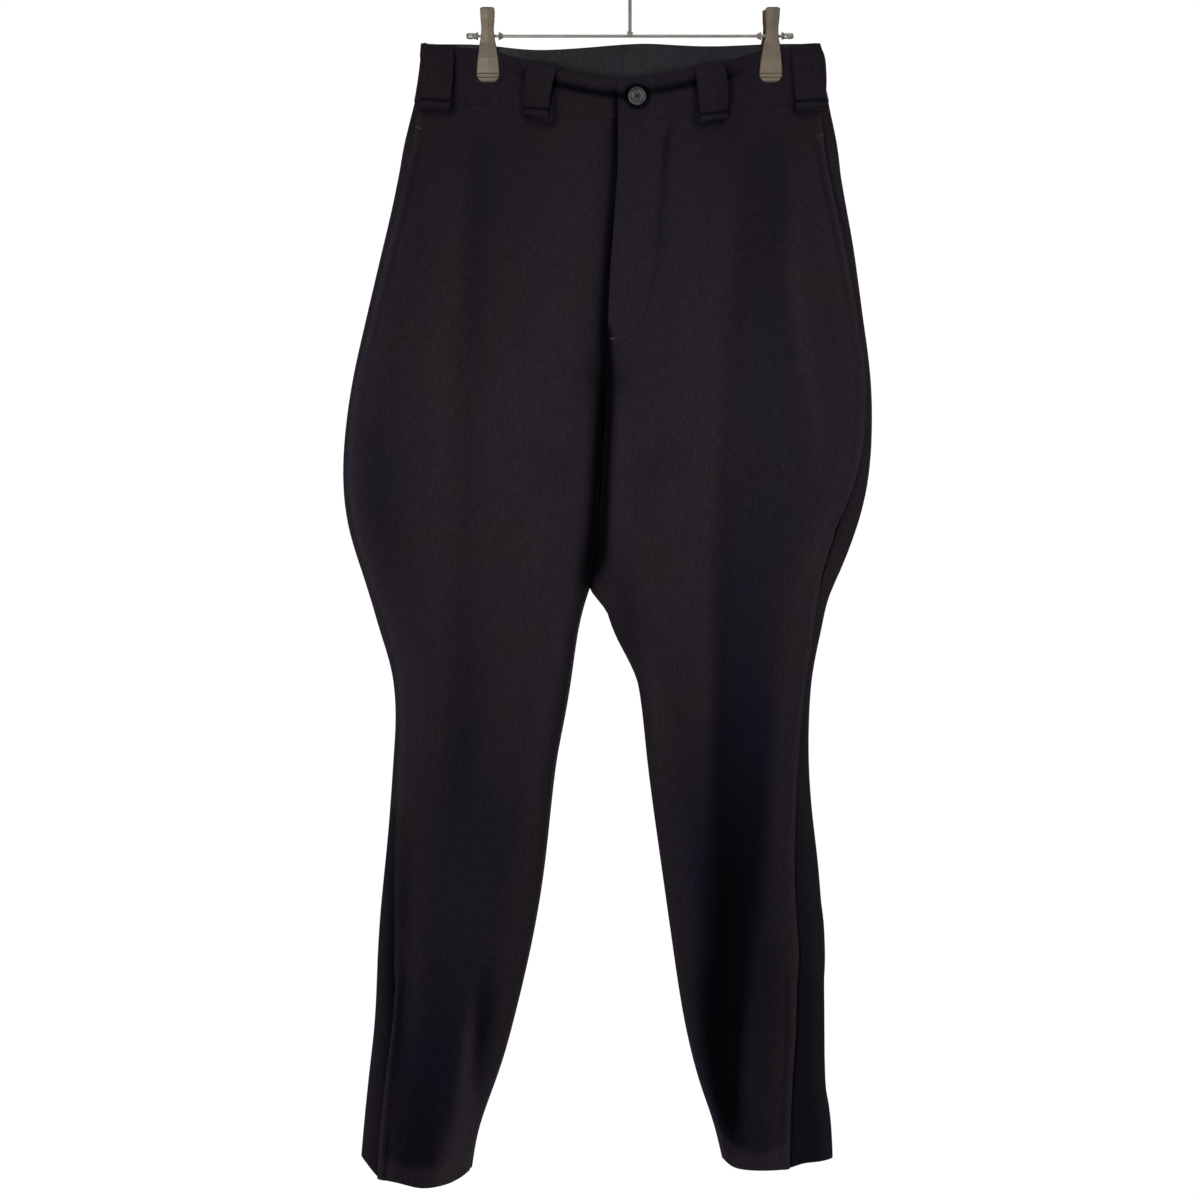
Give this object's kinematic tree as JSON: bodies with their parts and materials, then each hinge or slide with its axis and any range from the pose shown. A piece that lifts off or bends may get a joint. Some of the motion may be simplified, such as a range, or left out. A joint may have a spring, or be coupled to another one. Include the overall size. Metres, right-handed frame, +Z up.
{
  "type": "jodhpurs on a clip hanger",
  "caption": "Near-black wool jodhpurs, full at the hips and narrow from knee to ankle, with belt loops and a buttoned fly, clipped by the waistband to a hanger.",
  "frame": {"origin": "inside the top of the hanger's hook, where a rail carries it", "axes": "+Z up, -Y toward the viewer of the garment's front, +X toward the wearer's left, which is the viewer's right"},
  "size_m": [0.5045, 0.0989, 1.2007],
  "materials": {
    "front_panel_r": "dry napped wool twill, near black",
    "front_panel_l": "dry napped wool twill, near black",
    "back_panel_r": "dry napped wool twill, near black",
    "back_panel_l": "dry napped wool twill, near black",
    "waistband_front_r": "dry napped wool twill, near black",
    "waistband_front_l": "dry napped wool twill, near black",
    "waistband_back": "dry napped wool twill, near black",
    "waistband_facing_back": "plain grey-green twill",
    "belt_loop_front_r_side": "dry napped wool twill, near black",
    "belt_loop_front_r": "dry napped wool twill, near black",
    "belt_loop_front_l": "dry napped wool twill, near black",
    "belt_loop_front_l_side": "dry napped wool twill, near black",
    "belt_loop_back_r": "dry napped wool twill, near black",
    "belt_loop_back_centre": "dry napped wool twill, near black",
    "belt_loop_back_l": "dry napped wool twill, near black",
    "waist_button": "dark grey mottled, half gloss",
    "clip_r_lever_front": "warm grey satin plating",
    "clip_r_lever_back": "warm grey satin plating",
    "clip_r_spring": "bright spring steel",
    "clip_l_lever_front": "warm grey satin plating",
    "clip_l_lever_back": "warm grey satin plating",
    "clip_l_spring": "bright spring steel",
    "hanger_bar": "polished wire",
    "hanger_hook": "polished wire"
  },
  "bodies": {
    "root": {"front_panel_r": "front_panel_r", "front_panel_l": "front_panel_l", "back_panel_r": "back_panel_r", "back_panel_l": "back_panel_l", "waistband_front_r": "waistband_front_r", "waistband_front_l": "waistband_front_l", "waistband_back": "waistband_back", "waistband_facing_back": "waistband_facing_back", "belt_loop_front_r_side": "belt_loop_front_r_side", "belt_loop_front_r": "belt_loop_front_r", "belt_loop_front_l": "belt_loop_front_l", "belt_loop_front_l_side": "belt_loop_front_l_side", "belt_loop_back_r": "belt_loop_back_r", "belt_loop_back_centre": "belt_loop_back_centre", "belt_loop_back_l": "belt_loop_back_l", "waist_button": "waist_button", "clip_r_lever_front": "clip_r_lever_front", "clip_r_lever_back": "clip_r_lever_back", "clip_r_spring": "clip_r_spring", "clip_l_lever_front": "clip_l_lever_front", "clip_l_lever_back": "clip_l_lever_back", "clip_l_spring": "clip_l_spring", "hanger_bar": "hanger_bar", "hanger_hook": "hanger_hook"}
  },
  "joints": []
}
